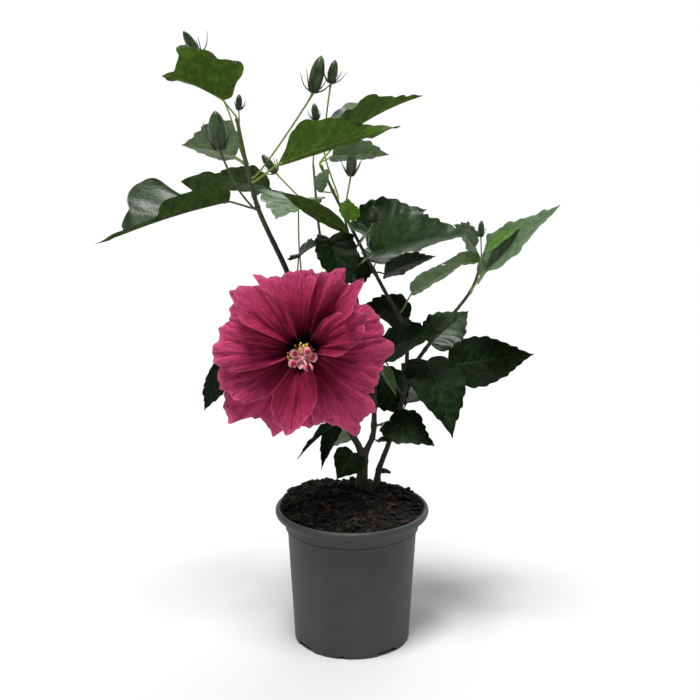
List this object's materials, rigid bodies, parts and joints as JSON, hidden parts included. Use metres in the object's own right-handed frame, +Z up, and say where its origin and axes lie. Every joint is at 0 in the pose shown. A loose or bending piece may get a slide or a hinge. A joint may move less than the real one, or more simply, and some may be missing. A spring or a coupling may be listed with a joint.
{
  "type": "potted hibiscus shrub",
  "caption": "Young flowering shrub in a round nursery pot: open woody stems, broad toothed leaves, upright buds and one large double bloom facing forward.",
  "frame": {"origin": "middle of the pot's flat underside, on the surface that the pot stands on", "axes": "+Z up through the pot's axis; the open bloom faces -Y; +X to the right when seen from the bloom's side"},
  "size_m": [0.4824, 0.2312, 0.6676],
  "materials": {
    "pot": "satin",
    "compost": "matte",
    "bark": "matte",
    "green_stem": "satin",
    "leaf": "satin",
    "bud": "matte",
    "petal": "matte"
  },
  "bodies": {
    "root": {"trunk": "bark", "left_stem_lower": "bark", "left_stem_upper": "green_stem", "middle_stem": "bark", "centre_stem": "green_stem", "right_stem": "bark", "long_shoot": "green_stem", "right_shoot": "green_stem", "thin_shoot": "green_stem", "far_left_leaf": "leaf", "top_left_leaf": "leaf", "upper_left_leaf": "leaf", "left_back_leaf": "leaf", "hanging_leaf": "leaf", "small_left_leaf": "leaf", "upper_middle_leaf": "leaf", "upper_right_leaves": "leaf", "young_leaves": "leaf", "small_folded_leaf": "leaf", "dark_middle_leaf": "leaf", "dark_centre_leaf": "leaf", "glossy_back_leaf": "leaf", "glossy_right_leaf": "leaf", "inner_right_leaf": "leaf", "pale_right_leaf": "leaf", "right_tip_leaves": "leaf", "far_right_leaf": "leaf", "dark_crossing_leaf": "leaf", "dark_inner_leaf": "leaf", "grey_right_leaf": "leaf", "big_dark_leaf": "leaf", "flat_right_leaf": "leaf", "low_dark_leaf": "leaf", "small_green_leaf": "leaf", "low_right_leaf": "leaf", "low_back_right_leaf": "leaf", "low_left_leaf": "leaf", "low_left_twisted_leaf": "leaf", "grey_low_leaf": "leaf", "foot_left_leaf": "leaf", "foot_back_leaf": "leaf", "foot_right_leaf": "leaf", "behind_bloom_leaf": "leaf", "back_leaf_low_left": "leaf", "back_leaf_left": "leaf", "back_leaf_middle": "leaf", "back_leaf_centre": "leaf", "back_leaf_low": "leaf", "back_leaf_right": "leaf", "back_leaf_upper": "leaf", "bud_top_left": "bud", "bud_dark_left": "bud", "bud_upper_middle": "bud", "bud_top_middle": "bud", "bud_inner": "bud", "bloom": "petal", "pot": "pot", "root_ball": "compost"}
  },
  "joints": []
}
